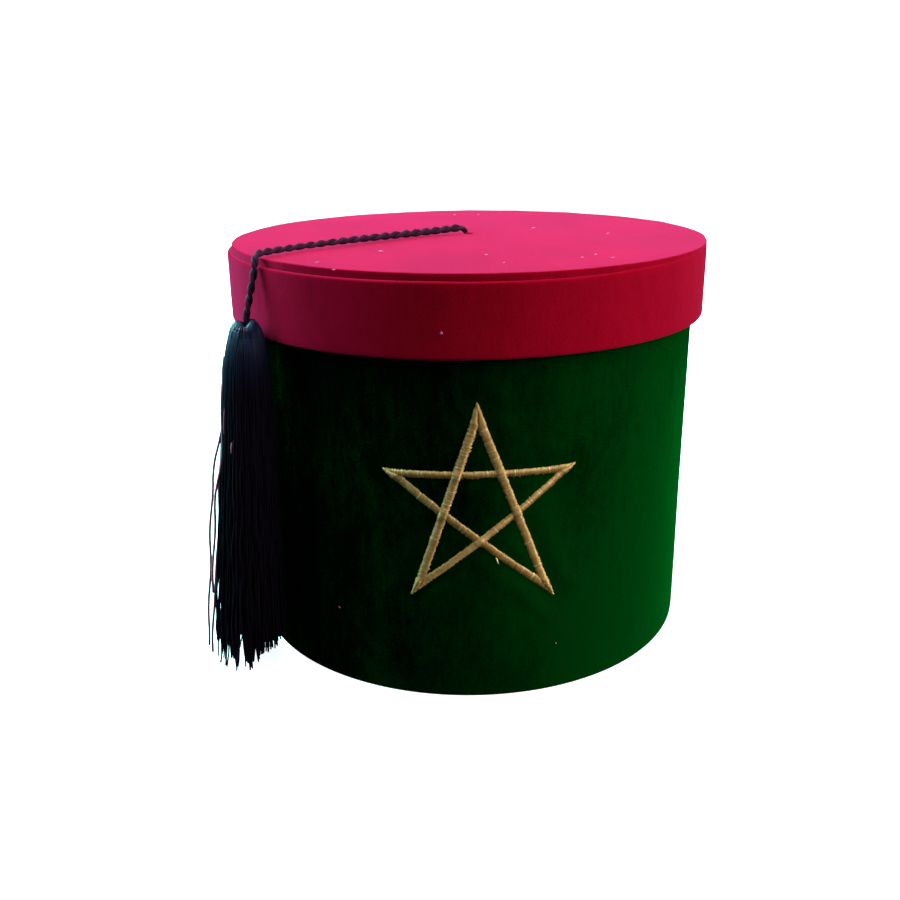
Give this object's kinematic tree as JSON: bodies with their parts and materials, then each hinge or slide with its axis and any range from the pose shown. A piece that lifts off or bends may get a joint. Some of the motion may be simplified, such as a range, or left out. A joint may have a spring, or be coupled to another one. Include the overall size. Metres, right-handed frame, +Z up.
{
  "type": "fez-shaped hat box",
  "caption": "Round velvet-covered box made like a fez, with a lift-off lid, a twisted cord, a hanging tassel and a stitched star.",
  "frame": {"origin": "middle of the base, on the surface that the box stands on", "axes": "+Z up along the box's axis, -Y towards the side with the star, +X to the viewer's right"},
  "size_m": [0.2092, 0.2, 0.1708],
  "materials": {
    "green_velvet": "deep green velvet glued over board, short dense pile with a soft sheen at its edges",
    "red_velvet": "crimson velvet, pinkish where the pile catches the light",
    "board": "plain grey board",
    "gold_thread": "satin stitch in shiny gold thread",
    "black_cord": "two-ply twisted black cord",
    "black_thread": "shiny black rayon thread"
  },
  "bodies": {
    "box": {"box_wall": "green_velvet", "box_floor": "board", "star_embroidery": "gold_thread"},
    "lid": {"lid_rim": "red_velvet", "lid_top": "red_velvet", "cord_knot": "black_cord", "tassel_cord": "black_cord", "tassel": "black_thread", "tassel_binding": "black_thread"}
  },
  "joints": [
    {"name": "lid_lift", "type": "slide", "parent": "box", "child": "lid", "axis": [0, 0, 1], "range_m": [0, 0.08]}
  ]
}
